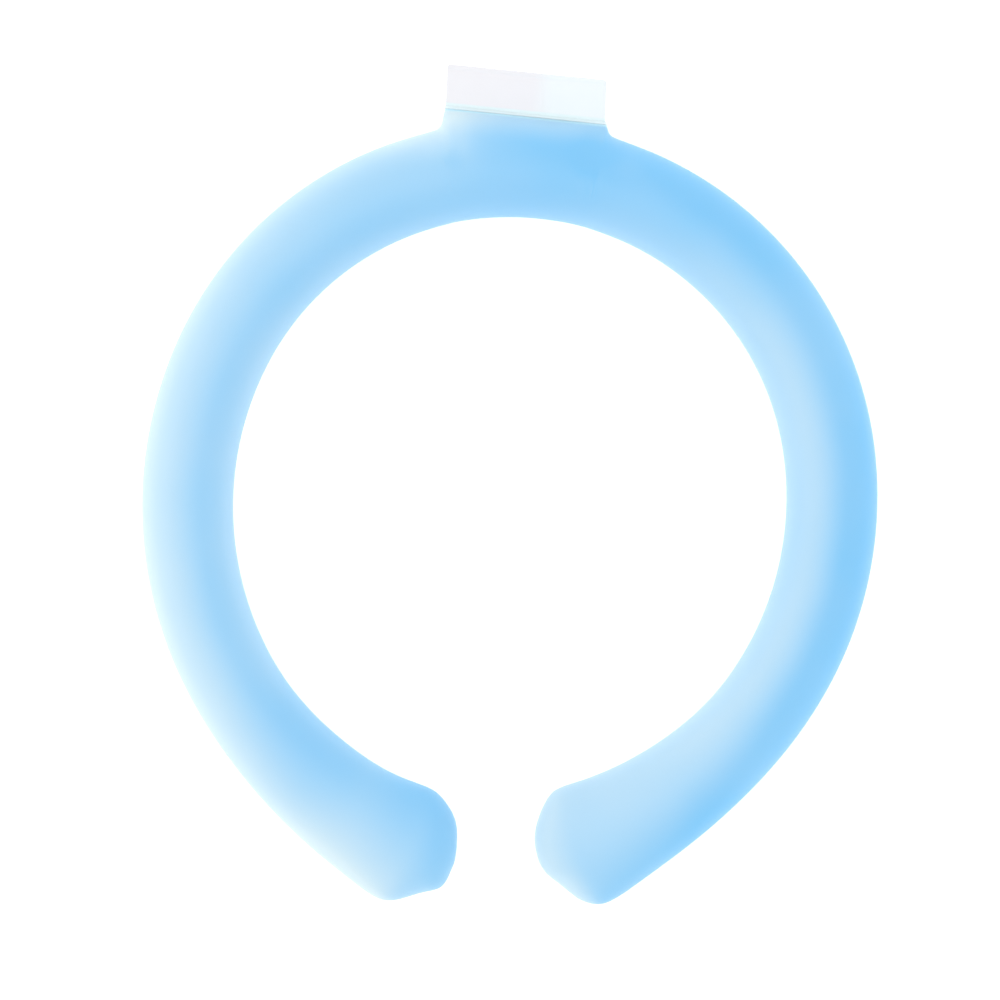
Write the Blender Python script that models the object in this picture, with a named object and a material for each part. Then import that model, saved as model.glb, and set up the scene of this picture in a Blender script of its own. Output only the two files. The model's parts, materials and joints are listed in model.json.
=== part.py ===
"""Cooling neck ring: a C of clear moulded film, filled with a pale blue gel and worn round the neck.

The ring lies flat with Z up, and +Y points from the gap at the throat to the sealed tab at the nape.
The film is one hollow piece: tube, filling neck and flat tab. The gel is the solid filling inside it.
"""

import math
from collections import namedtuple

import bmesh
import bpy
from mathutils import Vector

# Ring and tube, in metres
RING_RADIUS = 0.0655
TUBE_WIDTH = 0.0187
NAPE_WIDTH = 0.0195
TUBE_HEIGHT = 0.0182
REST_FLAT = 0.0055
FILM = 0.0010
GEL_GAP = 0.0003

# Flattened ends at the throat, in metres
FLARE_LENGTH = 0.048
END_WIDTH = 0.0253
LEFT_CAP_LENGTH = 0.0112
RIGHT_CAP_LENGTH = 0.0094

# Filling neck and sealed tab at the nape, in metres
NECK_WIDTH = 0.0330
NECK_REACH = 0.0018
NECK_FILLET = 0.0016
NECK_DRAFT = 0.0004
NECK_SIDE_ROUND = 0.0050
TAB_WIDTH = 0.0326
TAB_LENGTH = 0.0084
TAB_THICKNESS = 0.0014
TAB_CORNER = 0.0006
WELD_STEP = 0.0002
FILL_SLIT_WIDTH = 0.0120
FILL_SLIT_HEIGHT = 0.0004

# Shares and angles that shape them
TAB_SLOPE = math.radians(3.4)
NAPE_POWER = 2.0
FLARE_POWER = 1.85
GIRTH_POWER = 1.6
CAP_PLAN_POWER = 1.75
CAP_SIDE_POWER = 2.2
NECK_BELLY = 0.035
NECK_SIDE_HOLLOW = 0.065

# How finely the solids are faceted
TUBE_STEPS = 18
FLARE_STEPS = 8
FILLET_STEPS = 4
QUARTER_STEPS = 4
CAP_TURNS = (15, 30, 44, 57, 68, 77, 84, 88.5)
LIP_ANGLE = math.radians(5)

LEFT, RIGHT = -1, 1
NOSE_COLUMNS = QUARTER_STEPS
MIDDLE_HEIGHT = TUBE_HEIGHT / 2 * math.sqrt(1 - (REST_FLAT / TUBE_WIDTH) ** 2)
CAP_LENGTH = {LEFT: LEFT_CAP_LENGTH, RIGHT: RIGHT_CAP_LENGTH}

# Middle line of the tube from the nape to each end, as arcs that follow on smoothly.
# radius is a share of RING_RADIUS, and turn is in degrees.
Arc = namedtuple("Arc", "side radius turn")
ARCS = (
    Arc(LEFT, 0.99, 64.5),
    Arc(LEFT, 1.115, 64.0),
    Arc(LEFT, 1.265, 27.5),
    Arc(RIGHT, 1.005, 80.5),
    Arc(RIGHT, 1.10, 54.0),
    Arc(RIGHT, 1.485, 20.0),
)

# Soft dents and bulges round the two ends. along is a share of the cap's length from the end's
# shoulder, across a share of half END_WIDTH outwards, push a share of TUBE_WIDTH, and spread a
# share of END_WIDTH.
Dent = namedtuple("Dent", "side along across push spread")
DENTS = (
    Dent(LEFT, 0.05, 1.00, 0.028, 0.15),
    Dent(LEFT, 0.60, 0.72, -0.045, 0.15),
    Dent(LEFT, 0.90, 0.43, 0.060, 0.10),
    Dent(LEFT, 0.70, -0.62, 0.036, 0.15),
    Dent(LEFT, -1.00, -1.00, -0.030, 0.30),
    Dent(RIGHT, -0.05, -1.00, 0.010, 0.13),
    Dent(RIGHT, 0.90, -0.40, 0.025, 0.15),
    Dent(RIGHT, 0.70, 0.52, -0.060, 0.12),
    Dent(RIGHT, -0.15, 1.00, 0.045, 0.20),
)

Station = namedtuple("Station", "side distance half_width half_height x neck")


def outward(heading):
    """Way out of the ring where the middle line has turned by heading since the nape."""
    return Vector((math.sin(heading), math.cos(heading)))


def arcs_on(side):
    return [arc for arc in ARCS if arc.side == side]


def shoulder_distance(side):
    """Length of the middle line from the nape to an end's widest place."""
    return sum(arc.radius * RING_RADIUS * math.radians(arc.turn) for arc in arcs_on(side))


def middle_line(side, distance):
    """Point of the middle line at a distance from the nape, and the way out of the ring there."""
    point = Vector((0.0, RING_RADIUS))
    heading = 0.0
    arcs = arcs_on(side)
    for arc in arcs:
        radius = arc.radius * RING_RADIUS
        turn = math.radians(arc.turn)
        if arc is arcs[-1] or distance < radius * turn:
            turn = distance / radius
        centre = point - radius * outward(heading)
        heading += turn
        point = centre + radius * outward(heading)
        distance -= radius * turn
        if distance <= 0:
            break
    way_out = outward(heading)
    return Vector((side * point.x, point.y)), Vector((side * way_out.x, way_out.y))


def half_sizes(side, distance):
    """Half width and half height of the tube at a distance from the nape.

    It is a little wider at the nape. Over its flare the film keeps its girth, so the tube gets
    flatter as it gets wider.
    """
    flare = shoulder_distance(side) - FLARE_LENGTH
    if distance <= flare:
        share = 1 - distance / flare
        return (TUBE_WIDTH + (NAPE_WIDTH - TUBE_WIDTH) * share**NAPE_POWER) / 2, TUBE_HEIGHT / 2
    share = (distance - flare) / FLARE_LENGTH
    half_width = (TUBE_WIDTH + (END_WIDTH - TUBE_WIDTH) * share**FLARE_POWER) / 2
    return half_width, TUBE_HEIGHT / 2 * (TUBE_WIDTH / 2 / half_width) ** GIRTH_POWER


def weld_y(x):
    """Y of the line where the filling neck is welded flat."""
    return RING_RADIUS + NAPE_WIDTH / 2 + NECK_REACH - x * math.tan(TAB_SLOPE)


def neck_distance(side, x):
    """Distance from the nape at which the tube's outer edge is x to the side of it."""
    radius = arcs_on(side)[0].radius * RING_RADIUS
    return radius * math.asin(x / (radius + NAPE_WIDTH / 2))


def tube_edge_y(side, x):
    """Y of the tube's outer edge beside the neck."""
    distance = neck_distance(side, x)
    point, way_out = middle_line(side, distance)
    return (point + way_out * half_sizes(side, distance)[0]).y


def neck_stations(side):
    """Sections over one half of the filling neck and the fillet at its side."""
    half = NECK_WIDTH / 2
    plateau = half - NECK_SIDE_ROUND
    rows = [(plateau / 2, 1.0), (plateau, 1.0), (half - NECK_SIDE_ROUND / 2, 1.0), (half, 1.0)]
    side_height = weld_y(side * half) - tube_edge_y(side, half)
    fillet = min(NECK_FILLET, side_height)
    for step in range(FILLET_STEPS + 1):
        turn = math.pi / 2 * step / FILLET_STEPS
        x = half + NECK_DRAFT + fillet * (1 - math.cos(turn))
        rows.append((x, fillet * (1 - math.sin(turn)) / side_height))
    found = []
    for x, neck in rows:
        distance = neck_distance(side, x)
        found.append(Station(side, distance, *half_sizes(side, distance), x, neck))
    return found


def stations_on(side, inset):
    """Sections from beside the nape to the end, for a skin that lies inset inside the film."""
    found = neck_stations(side)
    shoulder = shoulder_distance(side)
    start = found[-1].distance
    flare = shoulder - FLARE_LENGTH
    distances = [start + (flare - start) * step / TUBE_STEPS for step in range(1, TUBE_STEPS + 1)]
    distances += [flare + FLARE_LENGTH * step / FLARE_STEPS for step in range(1, FLARE_STEPS + 1)]
    for distance in distances:
        found.append(Station(side, distance, *half_sizes(side, distance), 0.0, 0.0))
    found = [
        row._replace(half_width=row.half_width - inset, half_height=row.half_height - inset)
        for row in found
    ]
    widest = found[-1]
    for turn in CAP_TURNS:
        share = math.sin(math.radians(turn))
        found.append(
            widest._replace(
                distance=shoulder + (CAP_LENGTH[side] - inset) * share,
                half_width=widest.half_width * fall_off(share, CAP_PLAN_POWER),
                half_height=widest.half_height * fall_off(share, CAP_SIDE_POWER),
            )
        )
    return found


def fall_off(share, power):
    """Height of a rounded quarter that falls from 1 to 0 as share grows from 0 to 1."""
    return (1 - share**power) ** (1 / power)


def column_angles():
    """Angles of the points round a section, from the outer lip over the top and back underneath.

    One of them is at each edge of the flat that the ring rests on.
    """
    flat_edge = math.acos(REST_FLAT / TUBE_WIDTH)
    outer = [
        LIP_ANGLE + (flat_edge - LIP_ANGLE) * step / QUARTER_STEPS
        for step in range(QUARTER_STEPS + 1)
    ]
    upper = outer + [math.pi / 2] + [math.pi - angle for angle in reversed(outer)]
    return upper + [-angle for angle in reversed(upper)]


def tube_point(station, angle, inset):
    """Point of the plain tube, which the surface under it presses flat."""
    point, way_out = middle_line(station.side, station.distance)
    plan = point + way_out * station.half_width * math.cos(angle)
    height = MIDDLE_HEIGHT + station.half_height * math.sin(angle)
    return Vector((plan.x, plan.y, max(height, inset)))


def lip_half_height(inset):
    """Half the height at the weld: of the film's outside, or of what is left between its walls."""
    if inset == 0:
        return TAB_THICKNESS / 2 + WELD_STEP
    return FILL_SLIT_HEIGHT / 2 * FILM / inset


def neck_belly(x):
    """How far the neck bulges: swollen in the middle and drawn in at its two sides."""
    half = NECK_WIDTH / 2
    share = min(max((x - half + NECK_SIDE_ROUND) / NECK_SIDE_ROUND, 0.0), 1.0)
    smooth = share * share * (3 - 2 * share)
    return TUBE_HEIGHT * (NECK_BELLY - (NECK_BELLY + NECK_SIDE_HOLLOW) * smooth)


def neck_point(station, angles, column, inset):
    """Point of the filling neck, which narrows from the tube's shoulder to the weld."""
    half = NECK_WIDTH / 2
    if station.x <= half:
        x = station.side * station.x * (half - inset) / half
    else:
        x = station.side * (station.x - inset)
    lip = lip_half_height(inset)
    setback = inset * math.sqrt(2) - (lip_half_height(0) - lip) if inset else 0.0
    under = math.copysign(1.0, angles[column])
    tip = Vector((x, weld_y(x) - setback, MIDDLE_HEIGHT + under * lip))
    nose = min(column, len(angles) - 1 - column)
    share = 1 - nose / (NOSE_COLUMNS - 1)
    root = NOSE_COLUMNS - 1 if under > 0 else len(angles) - NOSE_COLUMNS
    point = tube_point(station, angles[root], inset).lerp(tip, share)
    point.z += under * neck_belly(station.x) * 4 * share * (1 - share)
    return point


def surface_point(station, angles, column, inset):
    """Point of the tube with its filling neck."""
    point = tube_point(station, angles[column], inset)
    if station.neck > 0 and min(column, len(angles) - 1 - column) < NOSE_COLUMNS:
        point = point.lerp(neck_point(station, angles, column, inset), station.neck)
    return point


def dented(side, point):
    """The point, moved by the dents and bulges near it."""
    shoulder = shoulder_distance(side)
    middle, _ = middle_line(side, shoulder)
    moved = point.copy()
    for dent in DENTS:
        if dent.side != side:
            continue
        at, way_out = middle_line(side, shoulder + dent.along * CAP_LENGTH[side])
        at += way_out * dent.across * END_WIDTH / 2
        near = math.exp(-(((point.xy - at).length / (dent.spread * END_WIDTH)) ** 2))
        moved.xy += (at - middle).normalized() * dent.push * TUBE_WIDTH * near
    return moved


def loft(name, inset):
    """Closed solid of the whole tube with its neck, lying inset inside the film's outside."""
    angles = column_angles()
    right = stations_on(RIGHT, inset)
    left = stations_on(LEFT, inset)
    nape = right[0]._replace(distance=0.0, x=0.0)
    mesh = bmesh.new()
    rings = []
    for station in [*reversed(left), nape, *right]:
        points = [surface_point(station, angles, c, inset) for c in range(len(angles))]
        rings.append([mesh.verts.new(dented(station.side, point)) for point in points])
    for first, second in zip(rings, rings[1:]):
        for column in range(len(angles)):
            after = (column + 1) % len(angles)
            corners = (first[column], first[after], second[after], second[column])
            mesh.faces.new(corners)
    for ring, side in ((rings[0], LEFT), (rings[-1], RIGHT)):
        tip, _ = middle_line(side, shoulder_distance(side) + CAP_LENGTH[side] - inset)
        pole = mesh.verts.new(dented(side, Vector((tip.x, tip.y, MIDDLE_HEIGHT))))
        for column in range(len(angles)):
            mesh.faces.new((ring[column], ring[(column + 1) % len(angles)], pole))
    bmesh.ops.triangulate(mesh, faces=mesh.faces, quad_method="FIXED")
    bmesh.ops.recalc_face_normals(mesh, faces=mesh.faces)
    return object_from(name, mesh)


def plate(name, half_width, inner, outer, thickness, corner):
    """Flat plate across the weld, from inner to outer along Y, with rounded outer corners."""
    mesh = bmesh.new()
    corners = [
        mesh.verts.new((x, weld_y(x) + reach, MIDDLE_HEIGHT - thickness / 2))
        for x, reach in (
            (-half_width, inner),
            (half_width, inner),
            (half_width, outer),
            (-half_width, outer),
        )
    ]
    face = mesh.faces.new(corners)
    if corner > 0:
        bmesh.ops.bevel(
            mesh, geom=corners[2:], affect="VERTICES", offset=corner, segments=3, profile=0.5
        )
        face = mesh.faces[:][0]
    sheet = bmesh.ops.extrude_face_region(mesh, geom=[face])
    raised = [part for part in sheet["geom"] if isinstance(part, bmesh.types.BMVert)]
    bmesh.ops.translate(mesh, verts=raised, vec=(0, 0, thickness))
    bmesh.ops.recalc_face_normals(mesh, faces=mesh.faces)
    return object_from(name, mesh)


def object_from(name, mesh):
    data = bpy.data.meshes.new(name)
    mesh.to_mesh(data)
    mesh.free()
    made = bpy.data.objects.new(name, data)
    bpy.context.scene.collection.objects.link(made)
    return made


def as_helper(helper):
    """Keeps a cutter or a joined-on shape out of the model."""
    helper.hide_render = True
    helper.display_type = "WIRE"
    return helper


def combine(target, helper, operation):
    step = target.modifiers.new(f"{operation.lower()} {helper.name}", "BOOLEAN")
    step.operation = operation
    step.object = as_helper(helper)


def finish(made, colour, roughness, alpha):
    """Gives an object its material and shades its round faces smooth."""
    material = bpy.data.materials.new(made.name)
    material.use_nodes = True
    shader = material.node_tree.nodes["Principled BSDF"]
    shader.inputs["Base Color"].default_value = (*colour, 1.0)
    shader.inputs["Roughness"].default_value = roughness
    shader.inputs["Metallic"].default_value = 0.0
    shader.inputs["Alpha"].default_value = alpha
    material.diffuse_color = (*colour, alpha)
    made.data.materials.append(material)
    made.data.shade_smooth()
    made.data.set_sharp_from_angle(angle=math.radians(35))


def film_tube():
    """The film: hollow tube, filling neck and welded tab in one piece, open at the fill slit."""
    film = loft("film_tube", 0.0)
    overlap = 1.5 * lip_half_height(0)
    tab = plate("tab", TAB_WIDTH / 2, -overlap, TAB_LENGTH, TAB_THICKNESS, TAB_CORNER)
    hollow = loft("hollow", FILM)
    slit_start = -(FILM * math.sqrt(2) + overlap)
    slit_end = TAB_LENGTH + FILM
    slit = plate("fill_slit", FILL_SLIT_WIDTH / 2, slit_start, slit_end, FILL_SLIT_HEIGHT, 0.0)
    combine(film, tab, "UNION")
    combine(film, hollow, "DIFFERENCE")
    combine(film, slit, "DIFFERENCE")
    finish(film, (0.80, 0.92, 1.0), 0.35, 0.45)
    return film, [tab, hollow, slit]


def cooling_gel():
    """The gel that fills the film, up to the weld of the filling neck."""
    gel = loft("cooling_gel", FILM + GEL_GAP)
    finish(gel, (0.28, 0.62, 1.0), 0.5, 1.0)
    return gel


def main():
    for old in list(bpy.data.objects):
        bpy.data.objects.remove(old)
    film, helpers = film_tube()
    gel = cooling_gel()
    corners = [vertex.co for part in (film, helpers[0]) for vertex in part.data.vertices]
    middle = [(min(c[axis] for c in corners) + max(c[axis] for c in corners)) / 2 for axis in (0, 1)]
    ring_frame = bpy.data.objects.new("ring_frame", None)
    bpy.context.scene.collection.objects.link(ring_frame)
    ring_frame.location = (-middle[0], -middle[1], 0.0)
    for part in (film, gel, *helpers):
        part.parent = ring_frame


main()
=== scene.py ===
"""Looks of a cooling neck ring: pale blue gel in a clear satin film, lying on a pale studio floor.

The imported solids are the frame. The film and the gel both start from the outside of the film's
solid, merged into one skin, and are then worked on as by hand.
"""

import json
import math
from collections import namedtuple

import bmesh
import bpy
from bpy.props import FloatProperty, FloatVectorProperty, IntProperty, PointerProperty
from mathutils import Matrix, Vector

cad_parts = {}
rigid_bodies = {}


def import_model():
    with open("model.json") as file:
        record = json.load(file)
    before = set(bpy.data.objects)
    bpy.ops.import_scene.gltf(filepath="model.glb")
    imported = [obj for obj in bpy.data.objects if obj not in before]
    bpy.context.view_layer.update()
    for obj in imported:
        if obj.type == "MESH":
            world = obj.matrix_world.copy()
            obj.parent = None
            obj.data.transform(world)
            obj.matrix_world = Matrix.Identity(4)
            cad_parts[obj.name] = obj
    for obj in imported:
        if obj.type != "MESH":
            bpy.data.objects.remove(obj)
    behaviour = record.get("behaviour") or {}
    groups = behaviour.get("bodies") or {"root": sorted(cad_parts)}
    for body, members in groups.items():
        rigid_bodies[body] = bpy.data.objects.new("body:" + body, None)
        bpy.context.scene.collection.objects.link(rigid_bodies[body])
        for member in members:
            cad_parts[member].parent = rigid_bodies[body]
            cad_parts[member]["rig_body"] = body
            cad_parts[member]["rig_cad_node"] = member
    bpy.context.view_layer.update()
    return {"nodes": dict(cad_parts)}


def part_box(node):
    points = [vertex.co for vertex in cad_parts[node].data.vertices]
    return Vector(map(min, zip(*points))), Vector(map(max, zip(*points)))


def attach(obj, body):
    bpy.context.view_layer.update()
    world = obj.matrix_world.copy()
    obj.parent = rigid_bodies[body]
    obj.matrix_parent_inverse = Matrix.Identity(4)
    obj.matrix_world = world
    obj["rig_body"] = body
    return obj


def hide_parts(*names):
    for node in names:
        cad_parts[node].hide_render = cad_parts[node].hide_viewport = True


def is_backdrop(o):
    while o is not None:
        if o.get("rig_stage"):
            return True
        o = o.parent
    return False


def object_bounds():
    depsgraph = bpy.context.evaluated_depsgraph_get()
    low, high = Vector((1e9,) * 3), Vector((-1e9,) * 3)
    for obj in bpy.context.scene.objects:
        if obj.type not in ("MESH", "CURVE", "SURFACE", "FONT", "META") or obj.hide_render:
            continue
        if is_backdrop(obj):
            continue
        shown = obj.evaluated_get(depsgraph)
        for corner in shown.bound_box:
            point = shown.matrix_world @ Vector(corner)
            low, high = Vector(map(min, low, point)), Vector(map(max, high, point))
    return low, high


bl_info = {
    "name": "Cooling Neck Ring",
    "version": (1, 0, 0),
    "blender": (4, 5, 0),
    "location": "View3D > Sidebar > Neck Ring",
    "description": "Models the film and the gel of a cooling neck ring, and the studio round it",
    "category": "Add Mesh",
}

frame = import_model()

MM = 0.001
PLAIN_SKIN = "plain_skin"
FLOOR_SIZE = 6.0

# How close vertices, edges and faces have to be to a place to count as being there.
CLOSE = 0.01 * MM
AT_SIDE = 0.05 * MM
AT_WELD = 0.1 * MM

# Vertices closer than the first are merged, and edges shorter than the second are dissolved.
MERGE_UNDER = 0.005 * MM
DISSOLVE_UNDER = 0.02 * MM

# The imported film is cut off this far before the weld. In the last strip before the weld the skin isn't
# filled out, and its sharp edges are creased.
CUT_BEFORE_WELD = 0.02 * MM
WELD_STRIP = 0.5 * MM

# Triangles are joined up to the first angle, faces are shaded smooth up to the second, and edges are
# creased from the third. The crease goes from 0, which is round, to 1, which is crisp.
JOIN_UP_TO = math.radians(60)
SMOOTH_UP_TO = math.radians(40)
CREASE_FROM = math.radians(35)
CREASE = 0.9

# Where the two shoulders of the neck lie: how far from the middle line, how far before the weld, and
# how far above or below the middle of the tab. The last number says how often they are smoothed.
SHOULDER_SIDE = (12.5 * MM, 20.0 * MM)
SHOULDER_DEPTH = (0.6 * MM, 11.0 * MM)
SHOULDER_HEIGHT = 2.6 * MM
SHOULDER_ROUNDS = 12

# The tint of the weld fades between this far before its outer edge and this far past it.
TINT_BEFORE = 0.2 * MM
TINT_PAST = 0.3 * MM

# Where the painted light on the left flanks, which face the key light, and on the sides that turn down
# starts, and where it is full. The first pair is the part of the gel's normal to the right, and the
# second pair the part upwards.
LEFT_FLANK = (0.35, -0.50)
TURNED_DOWN = (1.0, 0.5)

# Loops of the flat tab from the weld outwards: along is a share of its length, and thickness a share
# of its thickness. The pressed line across it lies near its outer edge.
TabLoop = namedtuple("TabLoop", "along thickness")
TAB_LOOPS = (
    TabLoop(0.06, 1.00),
    TabLoop(0.40, 0.96),
    TabLoop(0.80, 1.00),
    TabLoop(0.84, 0.80),
    TabLoop(0.89, 0.80),
    TabLoop(0.93, 1.00),
    TabLoop(1.00, 0.86),
)

# Soft patches of painted light and painted shade, in which the gel is paler or deeper blue than round
# them. Places and radii are in metres, and the paleness is added at the middle of the patch.
Patch = namedtuple("Patch", "x y radius frost")
PATCHES = {
    "nape": Patch(0.004, 0.066, 0.028, -0.21),
    "right shoulder": Patch(0.030, 0.060, 0.030, -0.18),
    "left of the neck": Patch(-0.022, 0.080, 0.020, 0.65),
    "right side": Patch(0.058, 0.030, 0.028, 0.14),
    "left arm": Patch(-0.040, -0.052, 0.022, -0.18),
    "left end": Patch(-0.030, -0.080, 0.024, 0.28),
    "left tip": Patch(-0.016, -0.069, 0.016, -0.18),
    "right arm": Patch(0.046, -0.070, 0.016, -0.18),
}


class FilmSettings(bpy.types.PropertyGroup):
    """Sizes and colours of the film"""

    tab_length: FloatProperty(
        name="Tab length",
        description="How far the flat tab reaches past the weld",
        default=8.4 * MM,
        unit="LENGTH",
    )
    tab_slope: FloatProperty(
        name="Tab slope",
        description="How far the weld turns from square to the ring",
        default=math.radians(3.4),
        subtype="ANGLE",
    )
    weld_step: FloatProperty(
        name="Weld step",
        description="Height of the step from the swollen neck down to the tab",
        default=0.2 * MM,
        unit="LENGTH",
    )
    corner: FloatProperty(
        name="Tab corner",
        description="Radius of the tab's outer corners",
        default=0.6 * MM,
        unit="LENGTH",
    )
    fold_place: FloatProperty(
        name="Fold place",
        description="How far right of the middle the tab has its faint fold",
        default=3.1 * MM,
        unit="LENGTH",
    )
    fold_height: FloatProperty(
        name="Fold height",
        description="How far the faint fold stands up",
        default=0.14 * MM,
        unit="LENGTH",
    )
    fold_width: FloatProperty(
        name="Fold width",
        description="Width of the faint fold",
        default=1.2 * MM,
        unit="LENGTH",
    )
    tint_fade: FloatProperty(
        name="Tint fade",
        description="Width over which the tab's tint changes at its fold",
        default=5.0 * MM,
        unit="LENGTH",
    )
    wall: FloatProperty(
        name="Modelled wall",
        description="Thickness of the film in the packed solids",
        default=1.0 * MM,
        unit="LENGTH",
    )
    fullness: FloatProperty(
        name="Fullness",
        description="How full of gel the film is, from 0 to 1",
        default=0.9,
        subtype="FACTOR",
    )
    growth: FloatProperty(
        name="Growth",
        description="How far the skin is filled out, to make up for what smoothing takes off",
        default=0.12 * MM,
        unit="LENGTH",
    )
    smoothing: IntProperty(
        name="Smoothing",
        description="How many times the skin is subdivided",
        default=2,
        min=1,
        max=3,
    )
    colour: FloatVectorProperty(
        name="Film colour",
        description="Colour of the milky film itself",
        default=(0.88, 0.94, 1.0),
        subtype="COLOR",
    )
    tab_colour: FloatVectorProperty(
        name="Tab colour",
        description="Colour of the welded tab left of its fold",
        default=(0.875, 0.870, 0.905),
        subtype="COLOR",
    )
    tab_light_colour: FloatVectorProperty(
        name="Tab light colour",
        description="Colour of the welded tab right of its fold",
        default=(0.875, 0.93, 0.955),
        subtype="COLOR",
    )
    weld_colour: FloatVectorProperty(
        name="Weld colour",
        description="Colour of the narrow weld, where a little gel is caught",
        default=(0.80, 0.93, 0.96),
        subtype="COLOR",
    )
    weld_width: FloatProperty(
        name="Weld width",
        description="Width of the narrow tinted weld",
        default=0.5 * MM,
        unit="LENGTH",
    )
    weld_fade: FloatProperty(
        name="Weld fade",
        description="Width over which the film turns milky before the weld",
        default=0.5 * MM,
        unit="LENGTH",
    )
    weld_margin: FloatProperty(
        name="Weld margin",
        description="How far before the weld the film is fully milky",
        default=0.45 * MM,
        unit="LENGTH",
    )
    haze: FloatProperty(
        name="Haze",
        description="How much of what is behind the film it hides",
        default=0.10,
        subtype="FACTOR",
    )
    tab_haze: FloatProperty(
        name="Tab haze",
        description="How much of what is behind the welded tab it hides",
        default=0.86,
        subtype="FACTOR",
    )


class GelSettings(bpy.types.PropertyGroup):
    """Size and colours of the gel"""

    film_seen: FloatProperty(
        name="Film seen",
        description="Thickness of clear film that shows round the gel",
        default=0.15 * MM,
        unit="LENGTH",
    )
    # The gel's deep blue, where no light is painted on it.
    deep_colour: FloatVectorProperty(
        name="Deep colour",
        description="Colour of the gel where it is densest",
        default=(0.14, 0.52, 0.86),
        subtype="COLOR",
    )
    # The paler colour that the gel is mixed towards where light is painted on it, and also in its random
    # clouds and in its thin neck.
    pale_colour: FloatVectorProperty(
        name="Pale colour",
        description="Colour of the gel where it is frosted",
        default=(0.62, 0.775, 0.84),
        subtype="COLOR",
    )
    # Painted light on top of the gel: how pale it is painted in the middle of the ring.
    frost: FloatProperty(
        name="Frost",
        description="How frosted the gel is on top, in the middle of the ring",
        default=0.15,
        subtype="FACTOR",
    )
    # How the painted light on top falls off away from the key light on the left, for each metre right
    # and back.
    painted_light_slope: FloatVectorProperty(
        name="Frost slope",
        description="How the frost on top changes for each metre right and back",
        default=(-1.7, -0.3),
        size=2,
    )
    # Painted light on the gel's left flanks, which face the key light.
    flank_painted_light: FloatProperty(
        name="Flank frost",
        description="How much more frosted the gel is on its left flanks",
        default=0.43,
        subtype="FACTOR",
    )
    # How the painted light on the left flanks changes for each metre right and back.
    flank_light_slope: FloatVectorProperty(
        name="Flank slope",
        description="How the frost on the left flanks changes for each metre right and back",
        default=(1.0, -1.7),
        size=2,
    )
    # Painted light where the gel turns down to its sides.
    edge_painted_light: FloatProperty(
        name="Edge frost",
        description="How much more frosted the gel is where it turns down to its sides",
        default=0.07,
        subtype="FACTOR",
    )
    # How the painted light on the sides that turn down changes for each metre to the right.
    edge_light_slope: FloatProperty(
        name="Edge slope",
        description="How the frost where the gel turns down changes for each metre to the right",
        default=-2.0,
    )
    weld_frost: FloatProperty(
        name="Weld frost",
        description="How much more frosted the gel is in the thin neck, close to the weld",
        default=0.36,
        subtype="FACTOR",
    )
    neck_length: FloatProperty(
        name="Neck length",
        description="How far before the weld the gel begins to get thin",
        default=7.0 * MM,
        unit="LENGTH",
    )
    # Painted light that lightens the shadow which the edge of the milky weld casts on the last thin gel.
    weld_shadow_fill_colour: FloatVectorProperty(
        name="Last colour",
        description="Colour of the last thin gel, under the edge of the milky weld",
        default=(0.53, 0.83, 0.95),
        subtype="COLOR",
    )
    # Where that painted light starts before the weld, and where it is full.
    shadow_fill_start: FloatProperty(
        name="Last start",
        description="How far before the weld the last thin gel starts",
        default=1.4 * MM,
        unit="LENGTH",
    )
    shadow_fill_end: FloatProperty(
        name="Last end",
        description="How far before the weld it has its own colour",
        default=0.8 * MM,
        unit="LENGTH",
    )


class StudioSettings(bpy.types.PropertyGroup):
    """The floor, the light and the camera"""

    floor_colour: FloatVectorProperty(
        name="Floor colour",
        description="Colour of the studio floor",
        default=(0.92, 0.92, 0.92),
        subtype="COLOR",
    )
    sky: FloatProperty(
        name="Sky",
        description="Brightness of the white surroundings",
        default=1.0,
    )
    floor_glow: FloatProperty(
        name="Floor glow",
        description="Brightness of the light that comes up through the floor",
        default=0.45,
    )
    top_power: FloatProperty(
        name="Top light",
        description="Power of the large soft light overhead",
        default=4.0,
        unit="POWER",
    )
    key_power: FloatProperty(
        name="Key light",
        description="Power of the large soft light on the left",
        default=0.8,
        unit="POWER",
    )
    distance: FloatProperty(
        name="Camera distance",
        description="Height of the camera over the ring",
        default=1.2,
        unit="LENGTH",
    )
    view_width: FloatProperty(
        name="View width",
        description="Width of what the camera sees at the ring",
        default=203.9 * MM,
        unit="LENGTH",
    )
    turn: FloatProperty(
        name="Camera turn",
        description="How far the camera is turned about the upright line, so that the tab leans right",
        default=math.radians(2.39),
        subtype="ANGLE",
    )
    centre: FloatVectorProperty(
        name="View centre",
        description="Point on the floor under the middle of the picture",
        default=(-2.03 * MM, -2.74 * MM),
        size=2,
        subtype="XYZ",
        unit="LENGTH",
    )


# Working on meshes


def only(piece):
    """Selects one object alone and makes it the active one."""
    bpy.ops.object.select_all(action="DESELECT")
    piece.select_set(True)
    bpy.context.view_layer.objects.active = piece


def copy_of(node, name):
    """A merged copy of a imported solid, free to be changed."""
    only(frame["nodes"][node])
    bpy.ops.object.duplicate()
    piece = bpy.context.object
    piece.name = name
    piece.data.name = name
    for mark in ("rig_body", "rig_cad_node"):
        del piece[mark]
    bpy.ops.object.parent_clear(type="CLEAR_KEEP_TRANSFORM")
    bpy.ops.mesh.customdata_custom_splitnormals_clear()
    piece.data.materials.clear()
    bpy.ops.object.mode_set(mode="EDIT")
    bpy.ops.mesh.select_all(action="SELECT")
    bpy.ops.mesh.remove_doubles(threshold=MERGE_UNDER)
    bpy.ops.object.mode_set(mode="OBJECT")
    return piece


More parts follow.
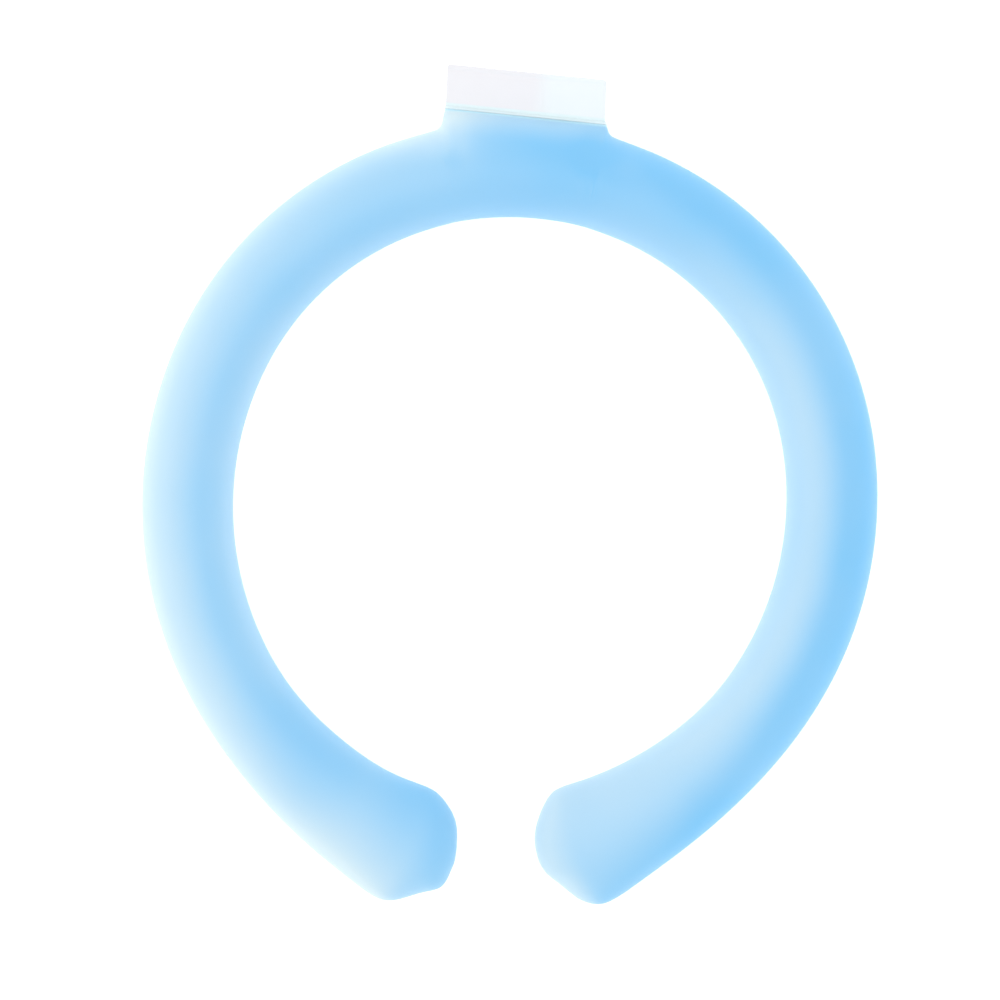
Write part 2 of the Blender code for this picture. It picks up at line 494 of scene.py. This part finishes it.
def pick(piece, kind, wanted):
    """Goes into edit mode with only the wanted vertices, edges or faces selected."""
    if piece.mode != "EDIT":
        bpy.ops.object.mode_set(mode="EDIT")
    bpy.ops.mesh.select_mode(type=kind)
    bpy.ops.mesh.select_all(action="DESELECT")
    mesh = bmesh.from_edit_mesh(piece.data)
    elements = {"VERT": mesh.verts, "EDGE": mesh.edges, "FACE": mesh.faces}[kind]
    found = [element for element in elements if wanted(element)]
    for element in found:
        element.select_set(True)
    bmesh.update_edit_mesh(piece.data)
    if not found:
        raise RuntimeError(f"nothing to select on {piece.name}")


def middle(element):
    """Middle of an edge or a face."""
    corners = [corner.co for corner in element.verts]
    return sum(corners, Vector()) / len(corners)


def refine(piece, levels):
    """Subdivides the finished cage, keeps its creased edges crisp and shades it smooth."""
    bpy.ops.object.mode_set(mode="OBJECT")
    rounding = piece.modifiers.new("rounding", "SUBSURF")
    rounding.levels = levels
    rounding.render_levels = levels
    bpy.ops.object.modifier_apply(modifier=rounding.name)
    bpy.ops.object.shade_smooth_by_angle(angle=SMOOTH_UP_TO)


# Shader maths


class Field:
    """A shader socket that can be used in sums."""

    def __init__(self, shader, socket):
        self.shader = shader
        self.socket = socket

    def _maths(self, operation, first, second):
        return self.shader.node("ShaderNodeMath", {"operation": operation}, {0: first, 1: second})

    def __add__(self, other):
        return self._maths("ADD", self, other)

    __radd__ = __add__

    def __sub__(self, other):
        return self._maths("SUBTRACT", self, other)

    def __rsub__(self, other):
        return self._maths("SUBTRACT", other, self)

    def __mul__(self, other):
        return self._maths("MULTIPLY", self, other)


class Shader:
    """A material with a Principled surface, whose other nodes are added by node()."""

    def __init__(self, name):
        self.material = bpy.data.materials.new(name)
        self.material.use_nodes = True
        self.tree = self.material.node_tree
        self.surface = self.tree.nodes["Principled BSDF"]

    def node(self, kind, settings, values, output=0):
        """Adds a node, makes its settings, then sets or links its sockets, and returns one output."""
        made = self.tree.nodes.new(kind)
        for key, value in settings.items():
            setattr(made, key, value)
        for key, value in values.items():
            self._feed(made.inputs[key], value)
        return Field(self, made.outputs[output])

    def set(self, **values):
        """Sets or links the surface's own sockets, named with _ for each space."""
        for key, value in values.items():
            self._feed(self.surface.inputs[key.replace("_", " ")], value)

    def _feed(self, socket, value):
        if isinstance(value, Field):
            self.tree.links.new(value.socket, socket)
        elif isinstance(socket.default_value, float):
            socket.default_value = value
        else:
            size = len(socket.default_value)
            socket.default_value = (*value, 1.0)[:size]

    def place(self):
        """Object coordinates, which are the ring's own."""
        return self.node("ShaderNodeTexCoord", {}, {}, "Object")

    def part(self, vector, axis):
        """One component of a vector."""
        return self.node("ShaderNodeSeparateXYZ", {}, {0: vector}, axis)

    def noise(self, place, scale, detail=3.0, roughness=0.5):
        """Grey clouds, about 0.5 on average."""
        values = {"Vector": place, "Scale": scale, "Detail": detail, "Roughness": roughness}
        return self.node("ShaderNodeTexNoise", {}, values, "Fac")

    def stretch(self, value, low, high, to_low=0.0, to_high=1.0):
        """Maps low to high onto a new range, with soft ends and no overshoot."""
        values = {"Value": value, 1: low, 2: high, 3: to_low, 4: to_high}
        return self.node("ShaderNodeMapRange", {"interpolation_type": "SMOOTHSTEP"}, values)

    def near(self, place, centre, radius):
        """1 at a point, falling softly to 0 at a radius from it."""
        settings = {"operation": "DISTANCE"}
        away = self.node("ShaderNodeVectorMath", settings, {0: place, 1: centre}, "Value")
        return self.stretch(away, radius, 0.0)

    def mix(self, share, first, second):
        """Colour between two colours."""
        settings = {"data_type": "RGBA"}
        return self.node("ShaderNodeMix", settings, {0: share, 6: first, 7: second}, 2)

    def bump(self, height, strength, distance):
        """Normal of a surface that is a little uneven."""
        values = {"Strength": strength, "Distance": distance, "Height": height}
        return self.node("ShaderNodeBump", {}, values)


# The film


def reach(point):
    """How far out past the ring's middle a point is, square to the sloping weld."""
    return point.y + point.x * math.tan(bpy.context.scene.ring_film.tab_slope)


def weld_reach():
    """Reach of the line where the filling neck is welded flat."""
    tips = [reach(vertex.co) for vertex in frame["nodes"]["film_tube"].data.vertices]
    return max(tips) - bpy.context.scene.ring_film.tab_length


def middle_height():
    """Height of the middle of the flat tab."""
    weld = weld_reach()
    tab = [v.co.z for v in frame["nodes"]["film_tube"].data.vertices if reach(v.co) > weld]
    return (min(tab) + max(tab)) / 2


def looks_at_gel(face, wall):
    """True of the faces of the hollow, which look towards the gel close to them."""
    centre = middle(face)
    _, near, _, _ = frame["nodes"]["cooling_gel"].closest_point_on_mesh(centre)
    way = near - centre
    return way.length < wall and way.dot(face.normal) > 0


def outer_skin(settings):
    """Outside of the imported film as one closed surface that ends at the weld."""
    weld = weld_reach()
    skin = copy_of("film_tube", PLAIN_SKIN)
    pick(skin, "FACE", lambda face: looks_at_gel(face, settings.wall))
    bpy.ops.mesh.delete(type="FACE")
    pick(skin, "FACE", lambda face: reach(middle(face)) > weld - CUT_BEFORE_WELD)
    bpy.ops.mesh.delete(type="FACE")

    # What hangs together with the leftmost point is the outside. Its open end at the weld is closed.
    left_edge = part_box("film_tube")[0].x + CLOSE
    pick(skin, "VERT", lambda vertex: vertex.co.x < left_edge)
    bpy.ops.mesh.select_linked()
    bpy.ops.mesh.select_all(action="INVERT")
    bpy.ops.mesh.delete(type="VERT")
    bpy.ops.mesh.select_mode(type="EDGE")
    bpy.ops.mesh.select_non_manifold(extend=False, use_wire=False, use_multi_face=False)
    bpy.ops.mesh.edge_face_add()
    bpy.ops.mesh.select_all(action="SELECT")
    bpy.ops.mesh.normals_make_consistent(inside=False)
    bpy.ops.mesh.tris_convert_to_quads(face_threshold=JOIN_UP_TO, shape_threshold=JOIN_UP_TO)
    soften_neck(skin, weld)
    fill_out(skin, weld, settings.growth)
    bpy.ops.object.mode_set(mode="OBJECT")


def fill_out(skin, weld, growth):
    """Swells the skin up to the weld a little, and lays it flat on the floor again."""
    pick(skin, "VERT", lambda vertex: reach(vertex.co) < weld - WELD_STRIP)
    bpy.ops.transform.shrink_fatten(value=growth, use_even_offset=True)
    pick(skin, "VERT", lambda vertex: vertex.co.z < 0.0)
    bpy.ops.transform.resize(value=(1.0, 1.0, 0.0), center_override=(0.0, 0.0, 0.0))


def soften_neck(skin, weld):
    """Smooths the two shoulders where the neck runs into the tube, above and below its outline."""
    height = middle_height()
    inner, outer = SHOULDER_SIDE
    near, far = SHOULDER_DEPTH

    def on_shoulder(vertex):
        at_side = inner < abs(vertex.co.x) < outer
        before_weld = weld - far < reach(vertex.co) < weld - near
        return at_side and before_weld and abs(vertex.co.z - height) > SHOULDER_HEIGHT

    pick(skin, "VERT", on_shoulder)
    bpy.ops.mesh.vertices_smooth(factor=0.5, repeat=SHOULDER_ROUNDS)


def plain_skin(name, keep):
    """Takes the plain skin for a piece, or a copy of it where it is still needed, in edit mode."""
    skin = bpy.data.objects[PLAIN_SKIN]
    only(skin)
    if keep:
        bpy.ops.object.duplicate()
        skin = bpy.context.object
    skin.name = name
    skin.data.name = name
    bpy.ops.object.mode_set(mode="EDIT")
    return skin


def weld_face(skin):
    """Selects the one face that closes the skin at the weld."""
    start = weld_reach() - AT_WELD
    pick(skin, "FACE", lambda face: min(reach(corner.co) for corner in face.verts) > start)


def extrude_tab(film, settings):
    """Extrudes the flat tab out of the weld, loop by loop."""
    pivot = (0.0, 0.0, middle_height())
    weld_face(film)
    bpy.ops.mesh.inset(thickness=settings.weld_step, use_even_offset=True)
    before = TabLoop(0.0, 1.0)
    for loop in TAB_LOOPS:
        run = (loop.along - before.along) * settings.tab_length
        bpy.ops.mesh.extrude_region_move(TRANSFORM_OT_translate={"value": (0.0, run, 0.0)})
        thinner = loop.thickness / before.thickness
        bpy.ops.transform.resize(value=(1.0, 1.0, thinner), center_override=pivot)
        before = loop


def fold_tab(film, settings, weld):
    """Raises the faint fold that crosses the tab from the weld to its outer edge."""
    start = weld + AT_WELD
    for share in (-0.5, 0.0, 0.5):
        place = settings.fold_place + share * settings.fold_width
        pick(film, "FACE", lambda face: reach(middle(face)) > start)
        bpy.ops.mesh.bisect(plane_co=(place, 0.0, 0.0), plane_no=(1.0, 0.0, 0.0))

    def on_crest(vertex):
        return reach(vertex.co) > start and abs(vertex.co.x - settings.fold_place) < CLOSE

    pick(film, "VERT", on_crest)
    bpy.ops.transform.translate(value=(0.0, 0.0, settings.fold_height))


def round_tab_corners(film, settings, weld):
    """Bevels the two upright edges at the tab's outer corners."""
    end = weld + settings.tab_length - CLOSE
    corners = bmesh.from_edit_mesh(film.data).verts
    ends = [corner.co.x for corner in corners if reach(corner.co) > end]

    def is_corner(edge):
        first, second = (corner.co for corner in edge.verts)
        upright = abs(first.x - second.x) < CLOSE and abs(first.y - second.y) < CLOSE
        at_side = min(first.x - min(ends), max(ends) - first.x) < AT_SIDE
        return upright and at_side and reach(middle(edge)) > end

    pick(film, "EDGE", is_corner)
    bpy.ops.mesh.bevel(offset=settings.corner, segments=3, profile=0.5)
    bpy.ops.mesh.select_all(action="SELECT")
    bpy.ops.mesh.dissolve_degenerate(threshold=DISSOLVE_UNDER)


def crease_sharp(skin, weld):
    """Keeps the edges of the weld and what lies beyond it crisp when the skin is rounded."""
    bpy.ops.mesh.select_mode(type="EDGE")
    bpy.ops.mesh.select_all(action="DESELECT")
    bpy.ops.mesh.edges_select_sharp(sharpness=CREASE_FROM)
    mesh = bmesh.from_edit_mesh(skin.data)
    for edge in mesh.edges:
        if edge.select and reach(middle(edge)) < weld - WELD_STRIP:
            edge.select_set(False)
    bmesh.update_edit_mesh(skin.data)
    bpy.ops.transform.edge_crease(value=CREASE)


def film_material(settings, weld):
    """Clear satin film, a little milky, over the ring, and denser where it is welded to a tab."""
    film = Shader("clear_satin_film")
    place = film.place()
    across = film.part(place, "X")
    outwards = film.part(place, "Y") + across * math.tan(settings.tab_slope)
    milky = weld - settings.weld_margin
    welded = film.stretch(outwards, milky - settings.weld_fade, milky)
    past_weld = weld + settings.weld_width
    tinted = 1.0 - film.stretch(outwards, past_weld - TINT_BEFORE, past_weld + TINT_PAST)
    left, right = (settings.fold_place + side * settings.tint_fade / 2 for side in (-1, 1))
    lighter = film.stretch(across, left, right)
    clouds = film.noise(place, scale=60.0)
    grain = film.noise(place, scale=2600.0, detail=2.0)
    tab = film.mix(lighter, tuple(settings.tab_colour), tuple(settings.tab_light_colour))
    tab = film.mix(tinted, tab, tuple(settings.weld_colour))
    haze = film.stretch(welded, 0.0, 1.0, settings.haze, settings.tab_haze)
    film.set(
        Base_Color=film.mix(welded, tuple(settings.colour), tab),
        Alpha=haze + (clouds - 0.5) * 0.06,
        Roughness=0.28 + clouds * 0.12,
        Specular_IOR_Level=0.5,
        IOR=1.48,
        Normal=film.bump(grain + clouds * 3.0, strength=0.25, distance=0.05 * MM),
    )
    return film.material


class NECKRING_OT_skin(bpy.types.Operator):
    """Models the plain outer skin that the film and the gel both start from"""

    bl_idname = "neckring.skin"
    bl_label = "Plain Skin"

    def execute(self, context):
        outer_skin(context.scene.ring_film)
        return {"FINISHED"}


class NECKRING_OT_film(bpy.types.Operator):
    """Models the clear film: the tube, the filling neck and the welded tab in one skin"""

    bl_idname = "neckring.film"
    bl_label = "Film"

    def execute(self, context):
        settings = context.scene.ring_film
        weld = weld_reach()
        film = plain_skin("film_skin", keep=True)
        extrude_tab(film, settings)
        fold_tab(film, settings, weld)
        round_tab_corners(film, settings, weld)
        crease_sharp(film, weld)
        refine(film, settings.smoothing)
        film.data.materials.append(film_material(settings, weld))
        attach(film, "root")
        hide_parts("film_tube")
        return {"FINISHED"}


# The gel


def gel_material(settings, weld, tab_slope):
    """Smooth gel, deep blue at the nape and on its right flanks, with painted light that makes its left
    flanks, which face the key light, paler.
    """
    gel = Shader("pale_blue_gel")
    place = gel.place()
    right = gel.part(place, "X")
    back = gel.part(place, "Y")
    facing = gel.node("ShaderNodeTexCoord", {}, {}, "Normal")
    # Masks for painted light: the left flanks, which face the key light, and the sides that turn down.
    flank = gel.stretch(gel.part(facing, "X"), *LEFT_FLANK)
    edge = gel.stretch(gel.part(facing, "Z"), *TURNED_DOWN)
    clouds = gel.noise(place, scale=30.0, detail=2.0)
    # Paleness from random clouds, plus painted light on top that falls off away from the key light on
    # the left.
    frost = settings.frost + (clouds - 0.5) * 0.2
    frost += right * settings.painted_light_slope[0] + back * settings.painted_light_slope[1]
    # Painted light on the left flanks and on the sides that turn down.
    flank_light_slope = right * settings.flank_light_slope[0] + back * settings.flank_light_slope[1]
    frost += flank * (flank_light_slope + settings.flank_painted_light)
    frost += edge * (right * settings.edge_light_slope + settings.edge_painted_light)
    outwards = back + right * math.tan(tab_slope)
    frost += gel.stretch(outwards, weld - settings.neck_length, weld) * settings.weld_frost
    height = middle_height()
    # Patches of painted light and painted shade.
    for patch in PATCHES.values():
        frost += gel.near(place, (patch.x, patch.y, height), patch.radius) * patch.frost
    colour = gel.mix(frost, tuple(settings.deep_colour), tuple(settings.pale_colour))
    # Painted light that lightens the gel under the edge of the milky weld, where the weld casts a
    # shadow.
    last = gel.stretch(outwards, weld - settings.shadow_fill_start, weld - settings.shadow_fill_end)
    gel.set(
        Base_Color=gel.mix(last, colour, tuple(settings.weld_shadow_fill_colour)),
        Roughness=0.34 + clouds * 0.1,
        Specular_IOR_Level=0.35,
        Normal=gel.bump(clouds, strength=0.15, distance=0.2 * MM),
    )
    return gel.material


class NECKRING_OT_gel(bpy.types.Operator):
    """Models the gel that fills the film up to the weld"""

    bl_idname = "neckring.gel"
    bl_label = "Gel"

    def execute(self, context):
        settings = context.scene.ring_gel
        film = context.scene.ring_film
        weld = weld_reach()
        gel = plain_skin("gel_core", keep=False)
        bpy.ops.mesh.select_all(action="SELECT")
        bpy.ops.transform.shrink_fatten(value=-settings.film_seen, use_even_offset=True)
        crease_sharp(gel, weld)
        refine(gel, film.smoothing)
        gel.data.materials.append(gel_material(settings, weld, film.tab_slope))
        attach(gel, "root")
        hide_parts("cooling_gel")
        return {"FINISHED"}


# The studio


def floor_material(settings):
    """Pale matt floor that glows a little, so that it is white from straight above."""
    floor = Shader("pale_studio_floor")
    floor.set(
        Base_Color=tuple(settings.floor_colour),
        Roughness=0.9,
        Specular_IOR_Level=0.1,
        Emission_Color=(1.0, 1.0, 1.0),
        Emission_Strength=settings.floor_glow,
    )
    return floor.material


def soft_light(name, place, size, power):
    """Large soft light that looks at the ring."""
    bpy.ops.object.light_add(type="AREA", location=place)
    light = bpy.context.object
    light.name = name
    light.data.shape = "RECTANGLE"
    light.data.size, light.data.size_y = size
    light.data.energy = power
    light.rotation_euler = light.location.to_track_quat("Z", "Y").to_euler()


class NECKRING_OT_studio(bpy.types.Operator):
    """Lays the pale floor, and sets the soft lights and the camera over the ring"""

    bl_idname = "neckring.studio"
    bl_label = "Studio"

    def execute(self, context):
        settings = context.scene.ring_studio
        bpy.ops.object.select_all(action="DESELECT")
        bpy.ops.mesh.primitive_plane_add(size=FLOOR_SIZE, location=(0.0, 0.0, 0.0))
        floor = context.object
        floor.name = "studio_floor"
        floor.data.materials.append(floor_material(settings))
        floor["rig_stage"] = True
        self.light_scene(context, settings)
        self.add_camera(context, settings)
        return {"FINISHED"}

    @staticmethod
    def light_scene(context, settings):
        """White surroundings and two large soft lights."""
        world = bpy.data.worlds.new("studio_sky")
        world.use_nodes = True
        sky = world.node_tree.nodes["Background"]
        sky.inputs["Color"].default_value = (1.0, 1.0, 1.0, 1.0)
        sky.inputs["Strength"].default_value = settings.sky
        context.scene.world = world
        context.scene.view_settings.view_transform = "Standard"
        soft_light("key_light", place=(-0.9, 0.12, 0.35), size=(0.9, 0.6), power=settings.key_power)
        soft_light("top_light", place=(0.0, 0.0, 1.8), size=(1.6, 1.6), power=settings.top_power)

    @staticmethod
    def add_camera(context, settings):
        """Camera straight above the ring, turned a little about the upright line."""
        _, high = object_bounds()
        place = (*settings.centre, high.z / 2 + settings.distance)
        bpy.ops.object.camera_add(location=place, rotation=(0.0, 0.0, settings.turn))
        camera = context.object
        camera.name = "camera"
        camera.data.sensor_width = 36.0
        camera.data.lens = camera.data.sensor_width * settings.distance / settings.view_width
        context.scene.camera = camera


class NECKRING_PT_panel(bpy.types.Panel):
    """Lists the steps that build the ring"""

    bl_idname = "NECKRING_PT_panel"
    bl_label = "Neck Ring"
    bl_space_type = "VIEW_3D"
    bl_region_type = "UI"
    bl_category = "Neck Ring"

    def draw(self, context):
        for operator in OPERATORS:
            self.layout.operator(operator.bl_idname)
        for group in ("ring_film", "ring_gel", "ring_studio"):
            box = self.layout.box()
            settings = getattr(context.scene, group)
            for name in settings.__annotations__:
                box.prop(settings, name)


OPERATORS = (NECKRING_OT_skin, NECKRING_OT_film, NECKRING_OT_gel, NECKRING_OT_studio)
CLASSES = (FilmSettings, GelSettings, StudioSettings, *OPERATORS, NECKRING_PT_panel)


def register():
    for made in CLASSES:
        bpy.utils.register_class(made)
    bpy.types.Scene.ring_film = PointerProperty(type=FilmSettings)
    bpy.types.Scene.ring_gel = PointerProperty(type=GelSettings)
    bpy.types.Scene.ring_studio = PointerProperty(type=StudioSettings)


def unregister():
    del bpy.types.Scene.ring_film
    del bpy.types.Scene.ring_gel
    del bpy.types.Scene.ring_studio
    for made in reversed(CLASSES):
        bpy.utils.unregister_class(made)


def main():
    """Builds the film, the gel and the studio."""
    register()
    bpy.ops.neckring.skin()
    bpy.ops.neckring.film()
    bpy.ops.neckring.gel()
    bpy.ops.neckring.studio()


if __name__ == "__main__":
    main()
